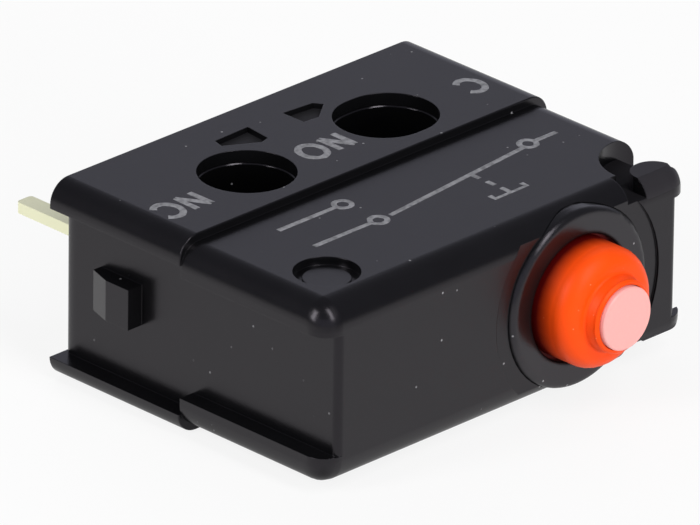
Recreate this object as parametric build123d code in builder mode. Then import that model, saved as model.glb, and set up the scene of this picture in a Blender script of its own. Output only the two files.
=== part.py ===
from build123d import *
from math import atan2, cos, hypot, radians, sin
import os

os.makedirs("parts", exist_ok=True)

# A sealed subminiature snap-action switch, in millimetres.
# The origin lies on the lower broad face, midway between the two mounting holes. X runs along the
# length, -Y points out of the plunger face, +Y out of the terminal face and Z through the thickness.

# ---- Driving dimensions ----------------------------------------------------------------------

# Terminals
terminal_pitch = 5.08
terminal_width = 0.5
terminal_sheet = 0.3
terminal_corner = 0.1     # round of a blade's end
terminal_z = 3.55
terminal_reach = 2.26     # bare length past the terminal face
tab_drop = 1.8            # height of the contact tabs
seal_depth = 0.44
seal_recess = 0.1

# Case, outside
blade_margin = 0.08       # between an outer terminal and the end wall
end_wall = 0.45
case_thickness = 5.3
plunger_face_y = -6.72
terminal_face_y = 2.84
step_y = -1.71            # where the thick rear section meets the front section
step_drop = 0.21          # how far each broad face drops at the step
step_inset = 0.04         # how far each narrow side steps in
overhang = 0.49           # reach of the plates past the end walls
rear_plate_low = 0.58
rear_plate_high = 0.7
front_plate = 0.82
side_round = 0.6
nose_round = 0.7
front_wall_round = 0.19
rear_wall_round = 0.25
step_round = 0.03         # along the edge of the step

# Case, inside
rear_skin = 0.33
chamber_wall = 0.79
front_wall = 1.12
inside_round = 0.15

# Mounting holes
hole_pitch = 4.8
hole_radius = 1.235
hole_step = 0.015         # how much wider the hole is in the case than in the base
hole_chamfer = 0.035
oval_extra = 0.26         # extra length of the oval hole along X

# Snap wedges on the end walls
wedge_low = 2.23
wedge_high = 3.32
wedge_foot_y = 1.54
wedge_foot_reach = 0.26    # where the ramp starts
wedge_crest_y = 0.89
wedge_face_y = 0.1
wedge_reach = 0.47

# Channel that leaves a finger at the corner beside the plunger
channel_inset = 0.56      # of its centre from the narrow side
channel_setback = 0.68    # of its centre from the plunger face
channel_radius = 1.41
channel_depth = 0.52
channel_mouth = 0.62
finger_width = 1.54
finger_length = 0.94
finger_end_width = 1.16   # of its rounded free end
finger_root = 0.34        # depth of its wider part at the plunger face
finger_round = 0.56
finger_drop = 0.09
finger_low_drop = 0.46    # of the finger on the lower face, which is thinner

# Moulding marks on the upper face
gate_inset = 1.63
gate_setback = 1.62
gate_radius = 0.84
gate_depth = 0.22
gate_disc_radius = 0.6
gate_disc_drop = 0.16
notch_depth = 0.15
left_notch = [(-1.73, 1.81), (-0.56, 1.85), (-0.655, 1.05), (-0.93, 0.98), (-1.81, 1.49)]
right_notch = [(0.64, 1.84), (1.6, 1.76), (1.75, 1.53), (1.13, 1.07), (0.65, 1.11)]

# Plunger, collar and boot
plunger_x = 2.4
plunger_reach = 1.7       # of its tip past the plunger face
plunger_travel = 0.7
guide_radius = 1.0
face_ring_radius = 2.83
face_ring_depth = 0.06
pocket_depth = 0.38
collar_radius = 2.36
collar_bore = 1.66
collar_proud = 0.08
collar_edge_round = 0.16
collar_bore_bevel = 0.05
boot_flange = 0.18
boot_wall = 0.24
boot_gap = 0.08           # between the boot and the collar's bore
boot_shoulder_reach = 1.19
boot_shoulder_round = 0.5
boot_neck_reach = 1.28
boot_neck_radius = 1.0
boot_lip_radius = 0.96
boot_lip_drop = 0.13      # of the lip below the plunger's tip
boot_lip_height = 0.12
boot_lip_bevel = 0.05
boot_taper = 0.01
plunger_head_radius = 0.83
plunger_head = 0.35
plunger_tip_bevel = 0.03
plunger_neck_radius = 0.6
plunger_collar_radius = 1.35
plunger_collar = 0.4
plunger_pin_radius = 0.45
plunger_pin = 2.25        # reach of its end into the chamber
plunger_pilot_radius = 0.25
plunger_pilot = 0.25
hook_groove = 0.2
hook_groove_depth = 0.17

# Contact arm and contacts
pivot_inset = 0.68        # of the pivot from the common terminal
pivot_depth = 2.0         # of the pivot in the chamber
contact_inset = 1.16      # of the contacts from the normally-closed terminal
contact_depth = 1.45      # of the moving contact in the chamber at rest
contact_gap = 0.5
contact_radius = 0.5
contact_bevel = 0.08
contact_crown = 0.35      # half the thickness of the moving contact
contact_dome_radius = 0.3 # where the moving contact's crown meets its sloping flanks
contact_dome_drop = 0.02  # height the crown loses by that radius
contact_shank_radius = 0.28
fixed_contact_height = 0.25
arm_sheet = 0.2
arm_width = 2.6
arm_tongue_width = 1.5
arm_rail = 0.5
window_start = 0.8
window_end = 7.0
arm_tip = 0.6             # reach of the arm past the contact's centre
support_sheet = 0.3

# Springs
snap_wire = 0.12
snap_radius = 0.42
snap_turns = 7
snap_depth = 1.5          # of its axis in the chamber at rest
snap_loop_radius = 0.3
snap_lead = 0.25          # straight wire between a loop and the turns
hook_play = 0.07          # round the wire, in the arm's hole
wire_sides = 6
return_wire = 0.12
return_radius = 0.5
return_turns = 4

# Clearances
fit = 0.01                # parts that are pressed or moulded together
running = 0.04            # radial clearance of the plunger in its guide
pivot_clearance = 0.03
contact_clearance = 0.01
beyond = 1.0              # how far a cut runs on past the surface it opens

# ---- Derived dimensions ----------------------------------------------------------------------

mid_z = case_thickness / 2
front_low = step_drop
front_high = case_thickness - step_drop
cavity_half = terminal_pitch + terminal_width / 2 + blade_margin
end_wall_x = cavity_half + end_wall
case_length = 2 * (end_wall_x + overhang)
front_half_length = case_length / 2 - step_inset
chamber_y = plunger_face_y + front_wall
chamber_height = front_high - front_low - 2 * chamber_wall
rear_height = case_thickness - 2 * rear_skin
pocket_floor_y = plunger_face_y + pocket_depth
pocket_radius = collar_radius + fit
collar_front_y = plunger_face_y - collar_proud
base_front_y = step_y + fit
seal_front_y = terminal_face_y - seal_recess - seal_depth
seal_rear_y = terminal_face_y - seal_recess
plunger_tip_y = plunger_face_y - plunger_reach
boot_shoulder_y = plunger_face_y - boot_shoulder_reach
boot_neck_y = plunger_face_y - boot_neck_reach
boot_lip_y = plunger_tip_y + boot_lip_drop
plunger_pin_end_y = chamber_y + plunger_pin
terminal_tip_y = terminal_face_y + terminal_reach
pivot_x = terminal_pitch - pivot_inset
pivot_y = chamber_y + pivot_depth
contact_x = contact_inset - terminal_pitch
contact_y = chamber_y + contact_depth
snap_y = chamber_y + snap_depth
arm_slope = atan2(pivot_y - contact_y, pivot_x - contact_x)
arm_reach = hypot(pivot_x - contact_x, pivot_y - contact_y)
nc_face_y = contact_y - contact_crown - contact_clearance
no_face_y = contact_y + contact_crown + contact_gap + contact_clearance
nc_tab_y = nc_face_y - fixed_contact_height
no_tab_y = no_face_y + fixed_contact_height
tab_low = terminal_z + terminal_sheet / 2 - tab_drop
plunger_axis = Axis((plunger_x, 0, mid_z), (0, 1, 0))
half_section = Plane(origin=(plunger_x, 0, mid_z), x_dir=(1, 0, 0), z_dir=(0, 0, 1))


def across(y):
    """The plane across the switch at this Y, with sketch axes X and Z."""
    return Plane.XZ.offset(-y)


def save(part, name):
    part.label = name
    export_step(part, f"parts/{name}.step")


def end_wall_outline():
    """Plan outline of the walls between the plates."""
    with BuildSketch() as outline:
        with Locations((0, (plunger_face_y + terminal_face_y) / 2)):
            Rectangle(2 * end_wall_x, terminal_face_y - plunger_face_y)
        fillet(outline.vertices().group_by(Axis.Y)[0], front_wall_round)
        fillet(outline.vertices().group_by(Axis.Y)[-1], rear_wall_round)
    return outline.sketch


def hole_outline(extra):
    """Both mounting holes, one round and one oval, wider than in the base by extra."""
    with BuildSketch() as outline:
        with Locations((-hole_pitch / 2, 0)):
            Circle(hole_radius + extra)
        with Locations((hole_pitch / 2, 0)):
            SlotOverall(2 * (hole_radius + extra) + oval_extra, 2 * (hole_radius + extra))
    return outline.sketch


# ---- Case ------------------------------------------------------------------------------------

channel_x = front_half_length - channel_inset
channel_y = plunger_face_y + channel_setback
finger_x = front_half_length - finger_width
finger_y = plunger_face_y + finger_length
finger_root_y = plunger_face_y + finger_root
finger_block = 2 * channel_radius
gate_x = gate_inset - front_half_length
gate_y = plunger_face_y + gate_setback

with BuildPart() as corner_cut:
    # The channel down to its floor, the same channel right through the overhang, and the skim
    # that lowers the finger it leaves.
    with BuildSketch(Plane.XY.offset(front_high - channel_depth)) as channel:
        with Locations((channel_x, channel_y)):
            Circle(channel_radius)
        with Locations((finger_x, channel_y)):
            Rectangle(channel_mouth, channel_radius, align=(Align.MAX, Align.MAX))
        with BuildSketch(mode=Mode.PRIVATE) as finger:
            with Locations((finger_x, finger_y)):
                Rectangle(finger_end_width, finger_block, align=(Align.MIN, Align.MAX))
            fillet(finger.vertices().group_by(Axis.Y)[-1], finger_round)
            with Locations((finger_x, finger_root_y)):
                Rectangle(finger_block, finger_block, align=(Align.MIN, Align.MAX))
        add(finger.sketch, mode=Mode.SUBTRACT)
    extrude(amount=channel_depth + beyond)
    with BuildSketch(Plane.XY.offset(front_high - front_plate - fit)):
        add(channel.sketch_local)
        with Locations((end_wall_x, channel_y)):
            Rectangle(
                2 * finger_block, 2 * finger_block, align=(Align.MAX, Align.CENTER), mode=Mode.SUBTRACT
            )
    extrude(amount=front_plate)
    with BuildSketch(Plane.XY.offset(front_high - finger_drop)):
        with Locations((finger_x, finger_y)):
            Rectangle(finger_block, finger_block, align=(Align.MIN, Align.MAX))
    extrude(amount=beyond)

with BuildPart() as case:
    # Front section: a rounded nose profile, with its narrow sides rounded over
    with BuildSketch(Plane.YZ) as nose:
        with Locations(((plunger_face_y + step_y) / 2, mid_z)):
            Rectangle(step_y - plunger_face_y, front_high - front_low)
        fillet(nose.vertices().group_by(Axis.X)[0], nose_round)
    extrude(amount=front_half_length, both=True)
    sides = case.faces().filter_by(Axis.X).edges()
    fillet(sides.filter_by(lambda edge: edge.center().Y < step_y - fit), side_round)
    # Rear section
    with BuildSketch(across(terminal_face_y)):
        with Locations((0, mid_z)):
            RectangleRounded(case_length, case_thickness, side_round)
    extrude(amount=terminal_face_y - step_y)
    step_face = case.faces().filter_by(Plane.XZ).sort_by(lambda face: abs(face.center().Y - step_y))[0]
    fillet(step_face.outer_wire().edges(), step_round)
    # Space between the plates, outside the end walls
    for low, high, start_y, end_y in (
        (rear_plate_low, case_thickness - rear_plate_high, step_y, terminal_face_y + beyond),
        (front_low + front_plate, front_high - front_plate, plunger_face_y - beyond, step_y),
    ):
        with BuildSketch(Plane.XY.offset(low)):
            with Locations((0, start_y)):
                Rectangle(case_length + beyond, end_y - start_y, align=(Align.CENTER, Align.MIN))
            add(end_wall_outline(), mode=Mode.SUBTRACT)
        extrude(amount=high - low, mode=Mode.SUBTRACT)
    # Snap wedges
    with BuildSketch(Plane.XY.offset(wedge_low)):
        crest_x = end_wall_x + wedge_reach
        Polygon(
            (end_wall_x - end_wall / 2, wedge_foot_y),
            (end_wall_x + wedge_foot_reach, wedge_foot_y),
            (crest_x, wedge_crest_y),
            (crest_x, wedge_face_y),
            (end_wall_x - end_wall / 2, wedge_face_y),
            align=None,
        )
        mirror(about=Plane.YZ)
    extrude(amount=wedge_high - wedge_low)
    # Mechanism chamber, and the wider cavity that takes the base
    with BuildSketch(across(step_y)):
        with Locations((0, mid_z)):
            RectangleRounded(2 * cavity_half, chamber_height, inside_round)
    extrude(amount=step_y - chamber_y, mode=Mode.SUBTRACT)
    with BuildSketch(across(terminal_face_y)):
        with Locations((0, mid_z)):
            RectangleRounded(2 * cavity_half, rear_height, inside_round)
    extrude(amount=terminal_face_y - step_y, mode=Mode.SUBTRACT)
    # Round faces, pocket and guide bore round the plunger
    for radius, start_y, end_y in (
        (face_ring_radius, plunger_face_y - beyond, plunger_face_y + face_ring_depth),
        (pocket_radius, plunger_face_y - beyond, pocket_floor_y),
        (guide_radius, plunger_face_y, chamber_y + fit),
    ):
        with BuildSketch(across(end_y)):
            with Locations((plunger_x, mid_z)):
                Circle(radius)
        extrude(amount=end_y - start_y, mode=Mode.SUBTRACT)
    # Mounting holes
    with BuildSketch():
        add(hole_outline(hole_step))
    extrude(amount=case_thickness, mode=Mode.SUBTRACT)
    # Corner channels, above and below, and the deeper skim of the lower finger
    add(corner_cut.part, mode=Mode.SUBTRACT)
    add(corner_cut.part.mirror(Plane.XY.offset(mid_z)), mode=Mode.SUBTRACT)
    with BuildSketch(Plane.XY.offset(front_low + finger_low_drop)):
        with Locations((finger_x, finger_y)):
            Rectangle(finger_block, finger_block, align=(Align.MIN, Align.MAX))
    extrude(amount=-beyond, mode=Mode.SUBTRACT)
    # Round moulding gate and its disc
    with BuildSketch(Plane.XY.offset(front_high - gate_depth)):
        with Locations((gate_x, gate_y)):
            Circle(gate_radius)
    extrude(amount=beyond, mode=Mode.SUBTRACT)
    with BuildSketch(Plane.XY.offset(front_high - gate_depth)):
        with Locations((gate_x, gate_y)):
            Circle(gate_disc_radius)
    extrude(amount=gate_depth - gate_disc_drop)
    # Shallow notches by the terminal end
    with BuildSketch(Plane.XY.offset(case_thickness - notch_depth)):
        for notch in (left_notch, right_notch):
            Polygon(*notch, align=None)
    extrude(amount=beyond, mode=Mode.SUBTRACT)
save(case.part, "case")

# ---- Base ------------------------------------------------------------------------------------

slot_low = terminal_z - terminal_sheet / 2 - fit
slot_height = terminal_sheet + 2 * fit
slot_half = terminal_width / 2 + fit
no_post_left = contact_x - contact_radius
support_left = pivot_x + pivot_clearance
support_right = support_left + support_sheet
common_tab_y = pivot_y + support_sheet + 2 * pivot_clearance

with BuildPart() as base:
    with BuildSketch(across(seal_front_y)):
        with Locations((0, mid_z)):
            RectangleRounded(2 * (cavity_half - fit), rear_height - 2 * fit, inside_round)
    extrude(amount=seal_front_y - base_front_y)
    # Post that carries the normally-open tab, and the one behind the arm's support
    for left, right, tab_rear_y in (
        (no_post_left, slot_half, no_tab_y + terminal_sheet + fit),
        (support_left, cavity_half - fit, common_tab_y + terminal_sheet + fit),
    ):
        with BuildSketch(across(base_front_y)):
            with Locations((left, tab_low)):
                Rectangle(right - left, slot_low - tab_low, align=(Align.MIN, Align.MIN))
        extrude(amount=base_front_y - tab_rear_y)
    # Boss that centres the return spring
    with BuildSketch(across(base_front_y)):
        with Locations((plunger_x, mid_z)):
            Circle(return_radius - return_wire)
    extrude(amount=plunger_pilot)
    with BuildSketch():
        add(hole_outline(0))
    extrude(amount=case_thickness, mode=Mode.SUBTRACT)
    rims = base.faces().filter_by(Axis.Z).sort_by(Axis.Z)
    for face in (rims[0], rims[-1]):
        chamfer(face.inner_wires().edges(), hole_chamfer)
    # Slots for the three terminals: the outer two are open at the ends of the block
    with BuildSketch(across(terminal_face_y)):
        with Locations((0, slot_low)):
            Rectangle(2 * slot_half, slot_height, align=(Align.CENTER, Align.MIN))
        outer = cavity_half - terminal_pitch + slot_half
        for side in (-1, 1):
            with Locations((side * (terminal_pitch - slot_half + outer / 2), slot_low)):
                Rectangle(outer, slot_height, align=(Align.CENTER, Align.MIN))
    extrude(amount=terminal_face_y - base_front_y, mode=Mode.SUBTRACT)
save(base.part, "base")

with BuildPart() as terminal_seal:
    with BuildSketch(across(seal_rear_y)):
        with Locations((0, mid_z)):
            RectangleRounded(2 * (cavity_half - fit), rear_height - 2 * fit, inside_round)
        with Locations((0, terminal_z)):
            with GridLocations(terminal_pitch, 0, 3, 1):
                Rectangle(2 * slot_half, slot_height, mode=Mode.SUBTRACT)
    extrude(amount=seal_depth - fit)
save(terminal_seal.part, "terminal_seal")

# ---- Terminals -------------------------------------------------------------------------------


def blade_and_tab(blade_x, tab_start_x, tab_end_x, tab_y):
    """A terminal: a flat blade along Y, bent down at its inner end into a tab across X."""
    low_z = terminal_z - terminal_sheet / 2
    with BuildSketch(Plane.XY.offset(low_z)) as blade:
        with Locations((blade_x, tab_y)):
            Rectangle(terminal_width, terminal_tip_y - tab_y, align=(Align.CENTER, Align.MIN))
        fillet(blade.vertices().group_by(Axis.Y)[-1], terminal_corner)
    extrude(blade.sketch, amount=terminal_sheet)
    with BuildSketch(across(tab_y + terminal_sheet)) as tab:
        with Locations((tab_start_x, tab_low)):
            Rectangle(tab_end_x - tab_start_x, tab_drop, align=(Align.MIN, Align.MIN))
    extrude(tab.sketch, amount=terminal_sheet)


def rivet_hole(x):
    """Hole for a contact's shank, through whatever lies along Y at x."""
    with BuildSketch(across(0)) as hole:
        with Locations((x, mid_z)):
            Circle(contact_shank_radius + fit)
    extrude(hole.sketch, amount=-plunger_face_y, mode=Mode.SUBTRACT)


with BuildPart() as terminal_nc:
    left = -terminal_pitch - terminal_width / 2
    blade_and_tab(-terminal_pitch, left, contact_x + contact_radius, nc_tab_y - terminal_sheet)
    rivet_hole(contact_x)
save(terminal_nc.part, "terminal_nc")

with BuildPart() as terminal_no:
    blade_and_tab(0, no_post_left, terminal_width / 2, no_tab_y)
    rivet_hole(contact_x)
save(terminal_no.part, "terminal_no")

with BuildPart() as terminal_common:
    blade_and_tab(
        terminal_pitch, support_left, terminal_pitch + terminal_width / 2, common_tab_y
    )
save(terminal_common.part, "terminal_common")

with BuildPart() as arm_support:
    # A plate across the arm's end, with the groove that the arm rocks in
    with BuildSketch(Plane.XY.offset(mid_z)):
        with Locations((support_left, common_tab_y - fit)):
            Rectangle(support_sheet, 2 * (common_tab_y - fit - pivot_y), align=(Align.MIN, Align.MAX))
        with Locations((pivot_x, pivot_y)):
            Circle(arm_sheet / 2 + pivot_clearance, mode=Mode.SUBTRACT)
    extrude(amount=tab_drop / 2, both=True)
save(arm_support.part, "arm_support")

# ---- Contacts --------------------------------------------------------------------------------


def fixed_contact(face_y, tab_face_y, tab_far_y):
    """A headed rivet whose head faces the moving contact."""
    outwards = 1 if tab_face_y > face_y else -1
    section = Plane(origin=(contact_x, 0, mid_z), x_dir=(1, 0, 0), z_dir=(0, 0, 1))
    with BuildSketch(section) as profile:
        Polygon(
            (0, face_y),
            (contact_radius - contact_bevel, face_y),
            (contact_radius, face_y + outwards * contact_bevel),
            (contact_radius, tab_face_y - outwards * fit),
            (contact_shank_radius, tab_face_y - outwards * fit),
            (contact_shank_radius, tab_far_y),
            (0, tab_far_y),
            align=None,
        )
    revolve(profile.sketch, axis=Axis((contact_x, 0, mid_z), (0, 1, 0)))


with BuildPart() as contact_nc:
    fixed_contact(nc_face_y, nc_tab_y, nc_tab_y - terminal_sheet)
save(contact_nc.part, "contact_nc")

with BuildPart() as contact_no:
    fixed_contact(no_face_y, no_tab_y, no_tab_y + terminal_sheet)
save(contact_no.part, "contact_no")

# ---- Contact arm -----------------------------------------------------------------------------

# The arm lies along a sloping plane that starts at the pivot and runs to the moving contact.
arm_plane = Plane(
    origin=(pivot_x, pivot_y, mid_z),
    x_dir=(-cos(arm_slope), -sin(arm_slope), 0),
    z_dir=(sin(arm_slope), -cos(arm_slope), 0),
)
hook_hole = snap_wire / 2 + hook_play
hook_hole_reach = window_end + 2 * snap_loop_radius - hook_hole - arm_sheet / 2

with BuildPart() as moving_arm:
    with BuildSketch(arm_plane):
        with BuildSketch(mode=Mode.PRIVATE) as wide:
            Rectangle(window_end + arm_rail, arm_width, align=(Align.MIN, Align.CENTER))
            fillet(wide.vertices().group_by(Axis.X)[-1], arm_rail)
        add(wide.sketch)
        with BuildSketch(mode=Mode.PRIVATE) as tongue:
            Rectangle(arm_reach + arm_tip, arm_tongue_width, align=(Align.MIN, Align.CENTER))
            fillet(tongue.vertices().group_by(Axis.X)[-1], arm_rail)
        add(tongue.sketch)
        with Locations((window_start, 0)):
            Rectangle(
                window_end - window_start,
                arm_width - 2 * arm_rail,
                align=(Align.MIN, Align.CENTER),
                mode=Mode.SUBTRACT,
            )
        with Locations((hook_hole_reach, 0)):
            Circle(hook_hole, mode=Mode.SUBTRACT)
        with Locations((arm_reach, 0)):
            Circle(contact_shank_radius + fit, mode=Mode.SUBTRACT)
    extrude(amount=arm_sheet / 2, both=True)
    # Rounded edge that sits in the support's groove
    with BuildSketch(Plane.XY.offset(mid_z)):
        with Locations((pivot_x, pivot_y)):
            Circle(arm_sheet / 2)
    extrude(amount=tab_drop / 2, both=True)
save(moving_arm.part, "moving_arm")

with BuildPart() as moving_contact:
    # A rivet with a crowned head on each side of the arm
    head_plane = Plane(
        origin=arm_plane.from_local_coords((arm_reach, 0, 0)), x_dir=(0, 0, 1), z_dir=arm_plane.x_dir
    )
    with BuildSketch(head_plane):
        upper = [
            (contact_shank_radius, arm_sheet / 2 + fit),
            (contact_radius, arm_sheet / 2 + fit),
            (contact_radius, contact_crown - contact_bevel),
            (contact_dome_radius, contact_crown - contact_dome_drop),
            (0, contact_crown),
        ]
        lower = [(x, -y) for x, y in reversed(upper)]
        Polygon(*upper, *lower, align=None)
    revolve(axis=Axis(head_plane.origin, arm_plane.z_dir))
save(moving_contact.part, "moving_contact")

# ---- Plunger, boot and collar ----------------------------------------------------------------

stem_radius = guide_radius - running
boot_ceiling_y = boot_shoulder_y + boot_wall
hook_low_y = snap_y - hook_groove / 2
hook_high_y = snap_y + hook_groove / 2
collar_low_y = chamber_y + running

with BuildPart() as plunger:
    with BuildSketch(half_section):
        neck = plunger_neck_radius
        pin = plunger_pin_radius
        groove = plunger_pin_radius - hook_groove_depth
        Polygon(
            (0, plunger_tip_y),
            (plunger_head_radius - plunger_tip_bevel, plunger_tip_y),
            (plunger_head_radius, plunger_tip_y + plunger_tip_bevel),
            (plunger_head_radius, plunger_tip_y + plunger_head),
            (neck, plunger_tip_y + plunger_head),
            (neck, boot_ceiling_y + fit),
            (stem_radius, boot_ceiling_y + fit),
            (stem_radius, collar_low_y),
            (plunger_collar_radius, collar_low_y),
            (plunger_collar_radius, collar_low_y + plunger_collar),
            (pin, collar_low_y + plunger_collar),
            (pin, hook_low_y),
            (groove, hook_low_y),
            (groove, hook_high_y),
            (pin, hook_high_y),
            (pin, plunger_pin_end_y),
            (plunger_pilot_radius, plunger_pin_end_y),
            (plunger_pilot_radius, plunger_pin_end_y + plunger_pilot),
            (0, plunger_pin_end_y + plunger_pilot),
            align=None,
        )
    revolve(axis=plunger_axis)
save(plunger.part, "plunger")

flange_front_y = pocket_floor_y - fit - boot_flange
boot_radius = collar_bore - boot_gap
flange_radius = (collar_bore + collar_radius) / 2

with BuildPart() as rubber_boot:
    with BuildSketch(half_section):
        outer = boot_radius - boot_taper
        inner = boot_radius - boot_wall
        head_hole = plunger_head_radius + 2 * fit
        neck_hole = plunger_neck_radius + 2 * fit
        head_seat_y = plunger_tip_y + plunger_head + fit
        round_y = boot_shoulder_y + boot_shoulder_round
        shoulder_x = outer - boot_shoulder_round
        # How far the middle of a quarter round stays from its corner, as a share of its size
        mid = 1 - sin(radians(45))
        bend = boot_shoulder_round * mid
        neck_width = shoulder_x - boot_neck_radius
        neck_height = boot_neck_reach - boot_shoulder_reach
        ceiling_x = inner - boot_wall
        ceiling_end_y = boot_ceiling_y + boot_wall
        with BuildLine():
            # Outside, from the flange up to the lip
            Polyline(
                (inner, pocket_floor_y - fit),
                (flange_radius - 2 * fit, pocket_floor_y - fit),
                (flange_radius - 2 * fit, flange_front_y),
                (boot_radius, flange_front_y),
                (outer, round_y),
            )
            ThreePointArc(
                (outer, round_y),
                (outer - bend, boot_shoulder_y + bend),
                (shoulder_x, boot_shoulder_y),
            )
            ThreePointArc(
                (shoulder_x, boot_shoulder_y),
                (boot_neck_radius + neck_width * mid, boot_shoulder_y - neck_height * mid),
                (boot_neck_radius, boot_neck_y),
            )
            Polyline(
                (boot_neck_radius, boot_neck_y),
                (boot_lip_radius, boot_lip_y + boot_lip_height),
                (boot_lip_radius, boot_lip_y + boot_lip_bevel),
                (boot_lip_radius - boot_lip_bevel, boot_lip_y),
                (head_hole, boot_lip_y),
                (head_hole, head_seat_y),
                (neck_hole, head_seat_y),
                (neck_hole, boot_ceiling_y),
                (ceiling_x, boot_ceiling_y),
            )
            # Inside, rounded between the top and the wall
            ThreePointArc(
                (ceiling_x, boot_ceiling_y),
                (inner - boot_wall * mid, boot_ceiling_y + boot_wall * mid),
                (inner, ceiling_end_y),
            )
            Line((inner, ceiling_end_y), (inner, pocket_floor_y - fit))
        make_face()
    revolve(axis=plunger_axis)
save(rubber_boot.part, "rubber_boot")

with BuildPart() as boot_ring:
    with BuildSketch(half_section):
        with BuildLine():
            Polyline(
                (flange_radius, pocket_floor_y - fit),
                (collar_radius, pocket_floor_y - fit),
                (collar_radius, collar_front_y + collar_edge_round),
            )
            RadiusArc(
                (collar_radius, collar_front_y + collar_edge_round),
                (collar_radius - collar_edge_round, collar_front_y),
                collar_edge_round,
            )
            Polyline(
                (collar_radius - collar_edge_round, collar_front_y),
                (collar_bore + collar_bore_bevel, collar_front_y),
                (collar_bore, collar_front_y + collar_bore_bevel),
                (collar_bore, flange_front_y - fit),
                (flange_radius, flange_front_y - fit),
                (flange_radius, pocket_floor_y - fit),
            )
        make_face()
    revolve(axis=plunger_axis)
save(boot_ring.part, "boot_ring")

# ---- Springs ---------------------------------------------------------------------------------


def coil(start, direction, radius, wire, turns, length):
    """Six-sided wire wound from start along direction. Returns the path's two end points."""
    with BuildLine() as path:
        Helix(length / turns, length, radius, center=start, direction=direction)
    with BuildSketch(Plane(origin=path.line @ 0, z_dir=path.line % 0)) as section:
        RegularPolygon(wire / 2, wire_sides)
    sweep(section.sketch, path=path.line, is_frenet=True)
    return path.line @ 0, path.line @ 1


def wire_link(start, end, wire):
    """Straight wire between two points."""
    run = Vector(*end) - Vector(*start)
    with BuildSketch(Plane(origin=start, z_dir=run)) as section:
        Circle(wire / 2)
    extrude(section.sketch, amount=run.length)


with BuildPart() as snap_spring:
    # End loops: one through the arm's hole, one round the plunger's groove
    hook = arm_plane.from_local_coords((hook_hole_reach - snap_loop_radius, 0, 0))
    groove_loop = plunger_pin_radius - hook_groove_depth + 2 * fit + snap_wire / 2
    snap_start_x = hook.X + snap_loop_radius + snap_lead
    snap_length = plunger_x - groove_loop - snap_lead - snap_start_x
    first, last = coil(
        (snap_start_x, snap_y, mid_z), (1, 0, 0), snap_radius, snap_wire, snap_turns, snap_length
    )
    with Locations(Location((hook.X, hook.Y, mid_z))):
        Torus(snap_loop_radius, snap_wire / 2)
    with Locations(Location((plunger_x, snap_y, mid_z), (90, 0, 0))):
        Torus(groove_loop, snap_wire / 2)
    wire_link((hook.X + snap_loop_radius, hook.Y, mid_z), (first.X, snap_y, mid_z), snap_wire)
    wire_link((first.X, snap_y, mid_z), tuple(first), snap_wire)
    wire_link((last.X, snap_y, mid_z), tuple(last), snap_wire)
    wire_link((last.X, snap_y, mid_z), (plunger_x - groove_loop, snap_y, mid_z), snap_wire)
save(snap_spring.part, "snap_spring")

with BuildPart() as return_spring:
    seat_y = base_front_y - return_wire / 2 - fit
    top_y = plunger_pin_end_y + return_wire / 2 + fit
    coil(
        (plunger_x, top_y, mid_z), (0, 1, 0), return_radius, return_wire, return_turns, seat_y - top_y
    )
save(return_spring.part, "return_spring")
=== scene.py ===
# %% [markdown]
# # A sealed micro switch
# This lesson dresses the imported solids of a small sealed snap-action switch: a black moulded case,
# an orange rubber boot round a pale plunger, plated blades, and printed function marks. The solids
# are already the right shape, so the work is in their finishes, the soft boot and the light.

# %% Load the frame
from math import cos, pi, radians, sin

import bpy
from mathutils import Matrix, Vector, noise


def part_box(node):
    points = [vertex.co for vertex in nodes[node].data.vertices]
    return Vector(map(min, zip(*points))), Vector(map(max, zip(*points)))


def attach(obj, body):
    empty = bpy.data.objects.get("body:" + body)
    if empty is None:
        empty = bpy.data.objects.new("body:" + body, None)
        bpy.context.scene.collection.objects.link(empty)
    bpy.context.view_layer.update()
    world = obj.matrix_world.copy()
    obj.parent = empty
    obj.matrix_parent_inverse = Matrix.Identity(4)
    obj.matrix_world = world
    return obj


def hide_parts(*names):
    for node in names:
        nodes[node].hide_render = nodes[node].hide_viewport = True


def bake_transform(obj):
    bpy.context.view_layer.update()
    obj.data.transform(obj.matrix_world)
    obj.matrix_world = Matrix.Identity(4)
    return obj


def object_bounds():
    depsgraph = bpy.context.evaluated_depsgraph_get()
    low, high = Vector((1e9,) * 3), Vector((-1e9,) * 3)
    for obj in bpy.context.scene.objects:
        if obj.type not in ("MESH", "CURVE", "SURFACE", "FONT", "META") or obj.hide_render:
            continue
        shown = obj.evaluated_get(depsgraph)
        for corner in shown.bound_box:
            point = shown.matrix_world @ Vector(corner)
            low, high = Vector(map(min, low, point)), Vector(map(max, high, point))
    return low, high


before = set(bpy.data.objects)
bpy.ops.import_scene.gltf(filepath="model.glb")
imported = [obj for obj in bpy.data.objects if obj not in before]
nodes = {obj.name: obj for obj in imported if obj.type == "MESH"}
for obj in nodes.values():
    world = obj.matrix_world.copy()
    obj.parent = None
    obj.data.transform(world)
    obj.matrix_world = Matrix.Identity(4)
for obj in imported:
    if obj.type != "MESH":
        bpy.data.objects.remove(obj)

cad_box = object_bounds()
MM = 0.001
low, high = (Vector(corner) for corner in cad_box)
case_low, case_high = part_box("case")
print("nodes:", ", ".join(sorted(nodes)))
print("size in mm:", [round(side / MM, 2) for side in high - low])

# %% [markdown]
# ## Camera
# A long lens from far away keeps the edges of a small product almost parallel. The camera is placed
# by two angles and a slight roll. A look-at constraint would also aim it, but a matrix built from
# the three axes keeps the roll exact.

# %% Camera
AZIMUTH = radians(-45.017)
ELEVATION = radians(25.25)
ROLL = radians(0.743)
LENS_MM = 836.1
CAMERA_PLACE = Vector((-0.255923, -0.256982, 0.173125))

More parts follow.
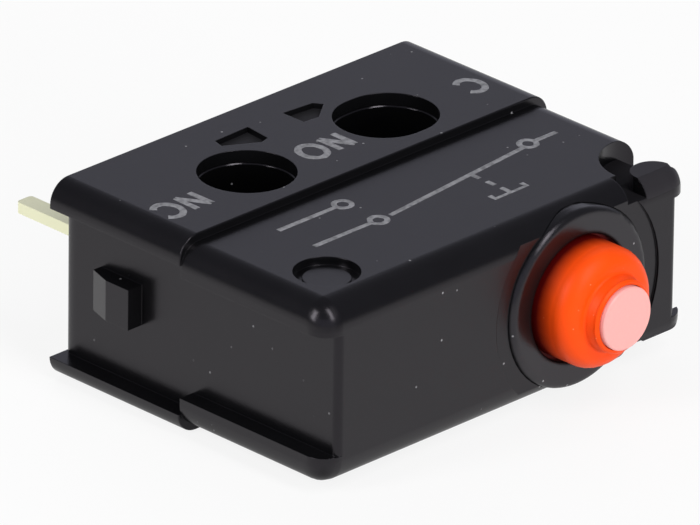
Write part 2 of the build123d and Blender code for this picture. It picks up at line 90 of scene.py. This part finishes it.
back = Vector(
    (sin(AZIMUTH) * cos(ELEVATION), -cos(AZIMUTH) * cos(ELEVATION), sin(ELEVATION))
)
right = Vector((cos(AZIMUTH), sin(AZIMUTH), 0))
up = back.cross(right)
rolled_right = cos(ROLL) * right + sin(ROLL) * up
rolled_up = cos(ROLL) * up - sin(ROLL) * right
camera_data = bpy.data.cameras.new("camera")
camera_data.lens = LENS_MM
camera_data.sensor_width = 36
camera_data.clip_start = 0.01
camera_data.clip_end = 10
camera = bpy.data.objects.new("camera", camera_data)
axes = Matrix((rolled_right, rolled_up, back)).transposed()
camera.matrix_world = Matrix.Translation(CAMERA_PLACE) @ axes.to_4x4()
bpy.context.scene.collection.objects.link(camera)
bpy.context.scene.camera = camera
bpy.context.scene.view_settings.view_transform = "Standard"
print("camera", round(CAMERA_PLACE.length, 3), "m from the switch")

# %% [markdown]
# ## Writing materials as expressions
# A material is a graph of nodes. Building it link by link is slow to read, so a small class wraps a
# socket and lets Python's operators add the Math nodes. Everything else comes from one function
# that takes a node's type, its settings and its inputs.


# %% A socket that does maths
class Socket:
    """A shader socket. Adding, subtracting or multiplying makes the Math node that does it."""

    def __init__(self, tree, socket):
        self.tree = tree
        self.socket = socket

    def maths(self, operation, *others):
        values = dict(enumerate((self, *others)))
        return make(self.tree, "ShaderNodeMath", {"operation": operation}, values)

    def __add__(self, other):
        return self.maths("ADD", other)

    def __sub__(self, other):
        return self.maths("SUBTRACT", other)

    def __mul__(self, other):
        return self.maths("MULTIPLY", other)

    def __rsub__(self, other):
        return (self * -1) + other

    __radd__ = __add__
    __rmul__ = __mul__

    def above(self, edge, softness):
        """0 below edge, 1 above it, with a soft step between."""
        span = {"Value": self, "From Min": edge - softness, "From Max": edge + softness}
        return make(self.tree, "ShaderNodeMapRange", {"clamp": True}, span)


def put(tree, target, value):
    """Link a socket, or set a plain value."""
    if isinstance(value, Socket):
        tree.links.new(value.socket, target)
    else:
        target.default_value = value


def make(tree, kind, settings=None, inputs=None, output=0):
    """Add a node: its settings first, then its sockets."""
    node = tree.nodes.new(kind)
    for name, value in (settings or {}).items():
        setattr(node, name, value)
    for name, value in (inputs or {}).items():
        put(tree, node.inputs[name], value)
    return Socket(tree, node.outputs[output])


# %% [markdown]
# Four small helpers cover what the finishes and the room share. The Mix node keeps separate sockets
# for each kind of value under one name, so they are reached by number.

# %% Helpers for any graph
MIX_SOCKETS = {"RGBA": (6, 7, 2), "VECTOR": (4, 5, 1)}


def mix(tree, amount, first, second, kind="RGBA"):
    """One colour, or one vector, turning into another as amount goes from 0 to 1."""
    first_input, second_input, result = MIX_SOCKETS[kind]
    values = {"Factor": amount, first_input: first, second_input: second}
    return make(tree, "ShaderNodeMix", {"data_type": kind}, values, output=result)


def axis_of(tree, vector, axis):
    """The X, Y or Z of a vector."""
    return make(tree, "ShaderNodeSeparateXYZ", None, {0: vector}, output=axis)


def ray(tree, kind):
    """1 for rays of one kind, such as Camera or Glossy, and 0 for the others."""
    return make(tree, "ShaderNodeLightPath", output=f"Is {kind} Ray")


def grey(level):
    return (level, level, level, 1.0)


# %% [markdown]
# A finish is a material with one Principled shader. The class gives it places measured in
# millimetres of the object's own space, so that grain and dust keep their size on any face.


# %% A material with one shader
class Finish:
    """A material whose Principled shader is filled in by name."""

    def __init__(self, name):
        self.material = bpy.data.materials.new(name)
        self.material.use_nodes = True
        self.tree = self.material.node_tree
        self.shader = self.tree.nodes["Principled BSDF"]

    def make(self, kind, settings=None, inputs=None, output=0):
        return make(self.tree, kind, settings, inputs, output)

    def set(self, **inputs):
        for name, value in inputs.items():
            put(self.tree, self.shader.inputs[name.replace("_", " ")], value)

    def place(self):
        """Where a point is, in millimetres of the object's own space."""
        point = self.make("ShaderNodeTexCoord", output="Object")
        scaled = {0: point, "Scale": 1 / MM}
        return self.make("ShaderNodeVectorMath", {"operation": "SCALE"}, scaled)

    def noise(self, scale, detail=2.0, roughness=0.5):
        """Noise from 0 to 1, with its scale in cycles per millimetre."""
        return self.make(
            "ShaderNodeTexNoise",
            None,
            {"Vector": self.place(), "Scale": scale, "Detail": detail, "Roughness": roughness},
        )

    def specks(self, scale, size):
        """1 on a few small dots and 0 elsewhere, with scale in cells per millimetre."""
        cells = {"Vector": self.place(), "Scale": scale}
        return 1 - self.make("ShaderNodeTexVoronoi", None, cells).above(size, size * 0.4)

    def mix(self, amount, first, second, kind="RGBA"):
        return mix(self.tree, amount, first, second, kind)

    def rounded(self, radius):
        """The normal of a surface whose edges are rounded by a radius in millimetres."""
        return self.make("ShaderNodeBevel", {"samples": 6}, {"Radius": radius * MM})

    def bump(self, height, depth, normal=None):
        """The normal of a surface with bumps of a depth in millimetres."""
        inputs = {"Height": height, "Distance": depth * MM}
        if normal:
            inputs["Normal"] = normal
        return self.make("ShaderNodeBump", None, inputs)

    def dress(self, *names):
        for name in names:
            mesh = nodes[name].data
            mesh.materials.clear()
            mesh.materials.append(self.material)
        print(self.material.name, "on", ", ".join(names))


# %% [markdown]
# ## Floor
# Near-black plastic shows little of its own colour. What is seen is the room, mirrored softly, so
# the room decides how it looks. The floor is a diffuse sheet that takes the object's shadow, mixed
# for camera, glossy and transmission rays with an even white glow. The Light Path node tells those
# rays apart, so the glow lights nothing. In mirror rays a painted contact shadow halves the glow
# right at the case's foot, and the glow fades further out, or every low face would mirror one flat
# white.

# %% Floor
FLOOR_SIZE = 4
FLOOR_GAP = 0.00002
FLOOR_GLOW = 0.82
GLOW_STRENGTH = 1.05
FAR_EDGE, FAR_SOFTNESS, FAR_LOSS = 0.055, 0.04, 0.6
FOOT_EDGE, FOOT_SOFTNESS, FOOT_SHADOW_LOSS = 0.0002, 0.0004, 0.5

bpy.ops.mesh.primitive_plane_add(size=FLOOR_SIZE, location=(0, 0, low.z - FLOOR_GAP))
floor = bpy.context.object
floor.name = "floor"
floor_material = bpy.data.materials.new("floor_white")
floor_material.use_nodes = True
tree = floor_material.node_tree
paper = make(tree, "ShaderNodeBsdfDiffuse", None, {"Color": grey(0.75)})
camera_ray = ray(tree, "Camera")
seen = camera_ray.maths("MAXIMUM", ray(tree, "Glossy")).maths("MAXIMUM", ray(tree, "Transmission"))
spot = make(tree, "ShaderNodeTexCoord", output="Object")
reach = make(tree, "ShaderNodeVectorMath", {"operation": "LENGTH"}, {0: spot}, output="Value")
far = reach.above(FAR_EDGE, FAR_SOFTNESS)
past_edge = None
for axis, name in enumerate("XY"):
    centre = (case_low[axis] + case_high[axis]) / 2
    half = (case_high[axis] - case_low[axis]) / 2
    past = (axis_of(tree, spot, name) - centre).maths("ABSOLUTE") - half
    past_edge = past if past_edge is None else past_edge.maths("MAXIMUM", past)
# Painted contact shadow: in mirror rays the floor's glow is darker under and just beside the case.
painted_foot_shadow = 1 - past_edge.above(FOOT_EDGE, FOOT_SOFTNESS)
mirrored = 1 - camera_ray
fade = (1 - far * mirrored * FAR_LOSS) * (1 - painted_foot_shadow * mirrored * FOOT_SHADOW_LOSS)
white = {"Color": grey(1.0), "Strength": fade * GLOW_STRENGTH}
glow = make(tree, "ShaderNodeEmission", None, white)
mixed = make(tree, "ShaderNodeMixShader", None, {0: seen * FLOOR_GLOW, 1: paper, 2: glow})
tree.links.new(mixed.socket, tree.nodes["Material Output"].inputs["Surface"])
floor.data.materials.clear()
floor.data.materials.append(floor_material)
print("floor", round((low.z - floor.location.z) / MM, 3), "mm below the switch")

# %% [markdown]
# ## Room
# The world is white to the camera. Mirror rays see a dim room instead, with two paler bands low
# down: a backdrop behind the switch and a reflector in front of it. Flat faces then look grey and
# the rounded bands between them stay black. Panels of real geometry would do the same, but the two
# bands in the world need no objects. Diffuse rays get a faint cool fill.

# %% World
BAND_TOP, BAND_TOP_SOFTNESS = 0.5, 0.03
BAND_WIDTH, BAND_SOFTNESS = 0.62, 0.22
BAND_LEVEL = 0.4
ROOM_LEVEL = 0.2
FILL_LEVEL = 0.06
ROOM_TINT = (0.94, 0.95, 1.1, 1)

world = bpy.data.worlds.new("studio")
bpy.context.scene.world = world
world.use_nodes = True
tree = world.node_tree
direction = make(tree, "ShaderNodeTexCoord", output="Generated")


def facing(x, y):
    """From -1 to 1: how far a sky direction points along a compass direction."""
    compass = Vector((x, y, 0)).normalized()
    level_part = {0: direction, 1: (1, 1, 0)}
    flat = make(tree, "ShaderNodeVectorMath", {"operation": "MULTIPLY"}, level_part)
    flat = make(tree, "ShaderNodeVectorMath", {"operation": "NORMALIZE"}, {0: flat})
    both = {0: flat, 1: compass}
    return make(tree, "ShaderNodeVectorMath", {"operation": "DOT_PRODUCT"}, both, output="Value")


backdrop = facing(1, 1).above(BAND_WIDTH, BAND_SOFTNESS)
reflector = facing(-1, -1).above(BAND_WIDTH, BAND_SOFTNESS)
lower = 1 - axis_of(tree, direction, "Z").above(BAND_TOP, BAND_TOP_SOFTNESS)
room = (backdrop + reflector) * BAND_LEVEL * lower + ROOM_LEVEL
camera_ray = ray(tree, "Camera")
mirror_ray = ray(tree, "Glossy") + ray(tree, "Transmission")
level = ray(tree, "Diffuse") * FILL_LEVEL + camera_ray + mirror_ray * room
background = tree.nodes["Background"]
put(tree, background.inputs["Strength"], level)
put(tree, background.inputs["Color"], mix(tree, camera_ray, ROOM_TINT, grey(1.0)))
print("room mirrors", ROOM_LEVEL, "to", ROOM_LEVEL + BAND_LEVEL)

# %% [markdown]
# ## Lamps
# Four area lamps at one distance light the switch at a plain level. Two of them are tall and narrow
# and are visible in mirror rays, so they draw the bright streaks along rounded edges. The other two
# only fill. An area lamp's power for a wanted level grows with the square of its distance.

# %% Lamps
LAMP_DISTANCE = 0.6
middle = (low + high) / 2


def softbox(name, direction, size, level, glossy=False):
    """A lamp facing the switch from this direction, that lights a white wall to this level."""
    data = bpy.data.lights.new(name, "AREA")
    data.shape = "RECTANGLE"
    data.size, data.size_y = size
    data.energy = level * (pi * LAMP_DISTANCE) ** 2
    lamp = bpy.data.objects.new(name, data)
    towards = Vector(direction).normalized()
    lamp.location = middle + towards * LAMP_DISTANCE
    lamp.rotation_euler = towards.to_track_quat("Z", "Y").to_euler()
    lamp.visible_glossy = glossy
    bpy.context.scene.collection.objects.link(lamp)
    print(name, "lights to", level)


softbox("left", (-0.83, 0.19, 0.52), (0.17, 0.42), 0.45, glossy=True)
softbox("right", (-0.04, -0.66, 0.75), (0.17, 0.5), 0.5, glossy=True)
softbox("front", (-0.1, -1, 0.12), (0.3, 0.3), 0.8)
softbox("back", (0.5, 0.7, 0.6), (0.5, 0.5), 0.3)

# %% [markdown]
# ## Black moulded plastic
# The case, base and collar are black engineering resin from a fine, semi-gloss mould, and the
# terminal end is filled with black sealing resin. One recipe serves all four. Its colour is nearly
# black and varies in soft clouds, a fine bump breaks up the mirrored room, and a few pale specks of
# dust lie on it. The Bevel node rounds the shading of every edge, which is lighter than cutting
# many small fillets into the meshes.


# %% Case, base, collar and seal
def moulded_black(name, tone, roughness, grain, edge=0.025, shine=1.4):
    """A finish for black resin: grey level, gloss, and its grain and edge round in mm."""
    finish = Finish(name)
    cloud = finish.noise(1.2, 3.0)
    fine = finish.noise(18.0, 3.0, 0.6)
    specks = finish.specks(1.5, 0.04)
    dark = (tone, tone, tone * 1.1, 1)
    light = (tone * 1.5, tone * 1.5, tone * 1.7, 1)
    finish.colour = finish.mix(specks, finish.mix(cloud, dark, light), (0.28, 0.28, 0.29, 1))
    finish.gloss = fine * 0.05 + cloud * 0.05 + specks * 0.3 + roughness
    finish.edges = finish.rounded(edge)
    finish.grain = finish.bump(fine, grain, normal=finish.edges)
    finish.set(
        Base_Color=finish.colour,
        Roughness=finish.gloss,
        Normal=finish.grain,
        IOR=shine,
        Specular_Tint=(1.0, 0.93, 1.03, 1),
    )
    return finish


case_finish = moulded_black("case_plastic", tone=0.003, roughness=0.19, grain=0.002)
base_finish = moulded_black("base_plastic", tone=0.002, roughness=0.1, grain=0.001, shine=1.44)
collar_finish = moulded_black(
    "ring_plastic", tone=0.004, roughness=0.16, grain=0.002, edge=0.14, shine=1.48
)
seal_finish = moulded_black("seal_resin", tone=0.01, roughness=0.12, grain=0.002, shine=1.45)
case_finish.dress("case")
base_finish.dress("base")
collar_finish.dress("boot_ring")
seal_finish.dress("terminal_seal")

# %% [markdown]
# The upright edges at the back of the case have a larger round than its other edges. A second Bevel
# node gives that round, and a mask of soft steps blends its normal in along the back of the case,
# between the two broad plates. The Bump node then takes the blend.

# %% Rounder back edges
BACK_EDGE_ROUND = 0.375
BACK_EDGE_DEPTH = 0.45
PLATE = 0.75
MASK_SOFTNESS = 0.05

case_end = case_low.y / MM
case_back = case_high.y / MM
case_top = case_high.z / MM
place = case_finish.place()
x, y, z = (axis_of(case_finish.tree, place, axis) for axis in "XYZ")
between_plates = z.above(PLATE, MASK_SOFTNESS) * (1 - z.above(case_top - PLATE, MASK_SOFTNESS))
upright = y.above(case_back - BACK_EDGE_DEPTH, MASK_SOFTNESS) * between_plates
wide = case_finish.rounded(BACK_EDGE_ROUND)
edges = case_finish.mix(upright, case_finish.edges, wide, kind="VECTOR")
put(case_finish.tree, case_finish.grain.socket.node.inputs["Normal"], edges)
print("back edges rounded by", BACK_EDGE_ROUND, "mm")

# %% [markdown]
# Three places come from other surfaces of the mould. The locating notches beside the holes have
# matt floors, the corner channels have matt floors that are also painted near black as painted
# shade, and the fingers that the channels leave are satin. Each mask is a box of soft steps, and the
# floors are also limited to where the surface faces up. A mask raises the roughness and mixes in its
# own grey. Separate material slots would need the faces to be picked out by hand.

# %% Matt floors, painted channel shade and satin fingers
NOTCHES = ((-2.0, 2.0), (0.92, 1.92), (case_top - 0.2, case_top - 0.1))
CHANNEL = ((3.6, 6.4), (case_end - 0.1, -4.6), (case_top - 0.8, case_top - 0.6))
FINGERS = ((4.79, 6.5), (case_end - 0.1, case_end + 0.96))
FINGER_SPAN = 0.78


def between_steps(socket, start, end, softness=0.01):
    """1 from start to end and 0 outside, with a soft step at each."""
    return socket.above(start, softness) * (1 - socket.above(end, softness))


def inside(box):
    """1 within a box, given as a start and an end for each axis in turn."""
    mask = 1
    for socket, (start, end) in zip((x, y, z), box):
        mask = between_steps(socket, start, end) * mask
    return mask


normal = case_finish.make("ShaderNodeTexCoord", output="Normal")
faces_up = axis_of(case_finish.tree, normal, "Z").above(0.7, 0.1)
notch = inside(NOTCHES) * faces_up
channel_matt_painted_shade = inside(CHANNEL) * faces_up
finger = inside(FINGERS) * (1 - between_steps(z, FINGER_SPAN, case_top - FINGER_SPAN))
colour = case_finish.mix(notch, case_finish.colour, (0.012, 0.012, 0.013, 1))
colour = case_finish.mix(finger, colour, (0.016, 0.015, 0.017, 1))
# Painted shade: the channel floors are painted near black, and the same mask also makes them matt.
colour = case_finish.mix(channel_matt_painted_shade, colour, grey(0.0005))
case_finish.set(
    Base_Color=colour,
    Roughness=notch * 0.35 + channel_matt_painted_shade * 0.6 + finger * 0.3 + case_finish.gloss,
)
print("notch, channel and finger masks added")

# %% [markdown]
# ## Metals
# The blades and the arm's support are gold plated, the contacts silver, the arm a copper alloy and
# the springs steel. One recipe varies the colour and the roughness a little, as on stamped and
# drawn metal. The plating is only half metallic, because a full metal mirrors the dim room and
# turns dark, while the other half keeps its pale gold.


# %% Metals
def metal(name, colour, roughness, dull=0.85, metallic=1.0):
    """A finish for bare or plated metal, whose colour varies down to dull times itself."""
    finish = Finish(name)
    fine = finish.noise(9.0, 4.0, 0.6)
    finish.set(
        Base_Color=finish.mix(fine, (*colour, 1), (*(c * dull for c in colour), 1)),
        Roughness=fine * 0.12 + roughness,
        Metallic=metallic,
        Normal=finish.bump(fine, 0.002),
    )
    return finish


terminal_gold = metal("terminal_gold", (1.0, 1.0, 0.7), 0.28, dull=0.96, metallic=0.5)
contact_silver = metal("contact_silver", (0.9, 0.88, 0.83), 0.2)
arm_copper = metal("arm_copper", (0.82, 0.5, 0.3), 0.25)
spring_steel = metal("spring_steel", (0.72, 0.72, 0.72), 0.25)
terminal_gold.dress("terminal_nc", "terminal_no", "terminal_common", "arm_support")
contact_silver.dress("contact_nc", "contact_no", "moving_contact")
arm_copper.dress("moving_arm")
spring_steel.dress("snap_spring", "return_spring")

# %% [markdown]
# ## Plunger
# The plunger is a pale pink resin with a fine, faint grain. Its edges are sharp in the mesh and get
# a slight round from the Bevel node, as the case's edges do.

# %% Plunger finish
plunger_finish = Finish("plunger_plastic")
fine = plunger_finish.noise(14.0, 2.0)
plunger_finish.set(
    Base_Color=plunger_finish.mix(fine, (0.98, 0.44, 0.41, 1), (0.92, 0.4, 0.37, 1)),
    Roughness=0.35,
    Normal=plunger_finish.bump(fine, 0.002, normal=plunger_finish.rounded(0.05)),
    IOR=1.5,
)
plunger_finish.dress("plunger")

# %% [markdown]
# ## Rubber boot
# The boot is a satin orange silicone. Where it goes down into the collar, little light reaches it,
# and that shade is painted into its colour: the orange turns to dark red there along the plunger's
# axis. Subsurface scattering could give a softer change, but it is slow and most exports lose it.
# Pale specks of dust cling to the rubber.

# %% Boot finish
SHADE_EDGE, SHADE_SOFTNESS = 0.26, 0.24

boot_finish = Finish("boot_rubber")
fine = boot_finish.noise(16.0, 3.0)
cloud = boot_finish.noise(1.5, 2.0)
along = axis_of(boot_finish.tree, boot_finish.place(), "Y")
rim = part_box("boot_ring")[0].y / MM
# Painted shade: the colour turns to dark red towards the collar, where little light reaches the
# boot.
painted_shade = along.above(rim - SHADE_EDGE, SHADE_SOFTNESS)
orange = boot_finish.mix(cloud, (1.0, 0.085, 0.003, 1), (0.96, 0.07, 0.002, 1))
shaded_orange = boot_finish.mix(painted_shade, orange, (0.1, 0.001, 0.001, 1))
dust = boot_finish.specks(3.2, 0.05)
boot_finish.set(
    Base_Color=boot_finish.mix(dust * 0.5, shaded_orange, (1.0, 0.45, 0.25, 1)),
    Roughness=fine * 0.1 + 0.42,
    Normal=boot_finish.bump(fine, 0.003),
    IOR=1.3,
)
boot_finish.dress("rubber_boot")

# %% [markdown]
# ## Soft pieces, copied
# When the plunger is pressed, the boot folds in, the return spring shortens, and the snap spring is
# drawn along at its plunger end while its other end follows the arm's hook. Here each of the three
# is swapped for a copy with its transform baked in. Each gets two points, one that would stay with
# the case and one that would move with the plunger, and the span between them is printed. The snap
# spring's span starts well outside the coil.

# %% Boot and springs
BOOT_STILL = 0.2
BOOT_MOVING = 1.25
PULL_START = -5.6
PULL_END = -1.0


def flexing_copy(node, start, end):
    """A copy that takes a node's place, with its transform baked in; start and end only give the
    printed span.
    """
    piece = bpy.data.objects.new(node + "_flexing", nodes[node].data.copy())
    bpy.context.scene.collection.objects.link(piece)
    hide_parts(node)
    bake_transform(piece)
    print(piece.name, "blends over", round((Vector(end) - Vector(start)).length / MM, 2), "mm")
    return piece


boot_low, boot_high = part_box("rubber_boot")
boot_mid = (boot_low + boot_high) / 2
flexing_copy(
    "rubber_boot",
    start=(boot_mid.x, boot_high.y - BOOT_STILL * MM, boot_mid.z),
    end=(boot_mid.x, boot_high.y - BOOT_MOVING * MM, boot_mid.z),
)
coil_low, coil_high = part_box("return_spring")
flexing_copy(
    "return_spring",
    start=(boot_mid.x, coil_high.y, boot_mid.z),
    end=(boot_mid.x, coil_low.y, boot_mid.z),
)
pull_low, pull_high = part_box("snap_spring")
pull_mid = (pull_low + pull_high) / 2
flexing_copy(
    "snap_spring",
    start=(pull_low.x + PULL_START * MM, pull_mid.y, pull_mid.z),
    end=(pull_high.x + PULL_END * MM, pull_mid.y, pull_mid.z),
)

# %% [markdown]
# ## Printed marks
# The contact functions are marked beside each terminal in a thin grey stroke letter. A font would
# be heavier than these strokes, so each letter is a short path with a round pen, pressed flat. The
# ink is worn thin in patches, and a little noise in the outline keeps it from looking drawn.

# %% Ink
ink = Finish("mark_ink")
fine = ink.noise(30.0, 2.0)
blotch = ink.noise(7.0, 3.0, 0.6).above(0.47, 0.12)
ink.set(
    Base_Color=ink.mix(blotch, (0.14, 0.14, 0.15, 1), (0.29, 0.29, 0.31, 1)),
    Roughness=fine * 0.1 + 0.5,
    Normal=ink.bump(fine, 0.003),
)


# %% Letters as paths
def arc(centre, radii, start, end, steps):
    """Points on an ellipse from one angle to another, in degrees."""
    turns = [radians(start + (end - start) * i / steps) for i in range(steps + 1)]
    return [(centre[0] + radii[0] * cos(t), centre[1] + radii[1] * sin(t)) for t in turns]


# Each letter has a width and its strokes, for a height of 1.
LETTERS = {
    "N": (0.6, [[(0, 0), (0, 1)], [(0, 1), (0.6, 0)], [(0.6, 0), (0.6, 1)]]),
    "O": (0.82, [arc((0.41, 0.5), (0.41, 0.5), 0, 360, 32)]),
    "C": (0.8, [arc((0.42, 0.5), (0.42, 0.5), 42, 318, 26)]),
}


def lettering(text, centre, height, gap=0.35):
    """Strokes of a word that reads towards -X with its top towards -Y."""
    wide = sum(LETTERS[c][0] for c in text) + gap * (len(text) - 1)
    strokes = []
    left = -wide / 2
    for c in text:
        width, paths = LETTERS[c]
        for path in paths:
            strokes.append(
                [
                    (centre[0] - (left + u) * height, centre[1] - (v - 0.5) * height)
                    for u, v in path
                ]
            )
        left += width + gap
    return strokes


# %% [markdown]
# A curve with a round pen gives strokes like rods. They are turned into a mesh and squashed to a
# film that lies half sunk in the face, so that no gap shows under the ink.

# %% Pressing the ink flat
FLATTENED = 0.05
WAVER = 0.02
WAVES_PER_MM = 7
WAVER_SEED = 3

# Without a seed this noise starts from the clock, and the outlines would differ from run to run.
noise.seed_set(WAVER_SEED)


def printed(name, strokes, face, pen):
    """Flat strokes of ink on a face that looks up, from paths and a pen width in mm."""
    curve = bpy.data.curves.new(name, "CURVE")
    curve.dimensions = "3D"
    curve.bevel_depth = pen / 2 * MM
    curve.bevel_resolution = 3
    curve.use_fill_caps = True
    for points in strokes:
        line = curve.splines.new("POLY")
        line.points.add(len(points) - 1)
        for point, (u, v) in zip(line.points, points):
            point.co = (u * MM, v * MM, 0, 1)
    helper = bpy.data.objects.new(name + "_path", curve)
    bpy.context.scene.collection.objects.link(helper)
    mesh = bpy.data.meshes.new_from_object(helper)
    bpy.data.objects.remove(helper)
    for vertex in mesh.vertices:
        shake = noise.noise_vector(vertex.co / MM * WAVES_PER_MM) * WAVER * MM
        vertex.co.x += shake.x
        vertex.co.y += shake.y
        vertex.co.z = vertex.co.z * FLATTENED + face
    mesh.materials.clear()
    mesh.materials.append(ink.material)
    piece = bpy.data.objects.new(name, mesh)
    bpy.context.scene.collection.objects.link(piece)
    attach(piece, "switch_body")
    print(name, "printed with", len(strokes), "strokes")
    return piece


printed("mark_nc", lettering("NC", (-4.98, -0.3), 0.8), case_high.z, 0.19)
printed("mark_no", lettering("NO", (-0.02, -0.26), 0.8), case_high.z, 0.19)
printed("mark_c", lettering("C", (5.18, -0.19), 0.78), case_high.z, 0.19)

# %% [markdown]
# The lower half of the upper face carries the plain circuit symbol of a changeover push switch: a
# common contact, an arm resting on the normally-closed contact, the normally-open contact, and the
# push bar above them. It is drawn with the same pen, in straight paths and small rings.

# %% Circuit symbol
SYMBOL_CENTRE = (0.6, -3.25)
STEP_DROP = 0.21
RING = (0.22, 0.22)


def on_face(points):
    """From reading directions on the front half to the switch's own millimetres."""
    return [(SYMBOL_CENTRE[0] - u, SYMBOL_CENTRE[1] - v) for u, v in points]


symbol = [
    [(-4.5, 0), (-3.72, 0)],
    arc((-3.5, 0), RING, 0, 360, 24),
    [(-3.3, 0.08), (1.9, 0.62)],
    arc((2.3, 0.62), RING, 0, 360, 24),
    [(2.52, 0.62), (4.5, 0.62)],
    arc((2.3, -0.62), RING, 0, 360, 24),
    [(2.52, -0.62), (4.5, -0.62)],
    [(-1.2, 0.3), (-1.2, 0.62)],
    [(-1.2, 0.86), (-1.2, 1.14)],
    [(-1.2, 1.36), (-1.2, 1.7)],
    [(-1.75, 1.5), (-1.75, 1.7), (-0.65, 1.7), (-0.65, 1.5)],
]
front_top = case_high.z - STEP_DROP * MM
printed("mark_symbol", [on_face(path) for path in symbol], front_top, 0.15)
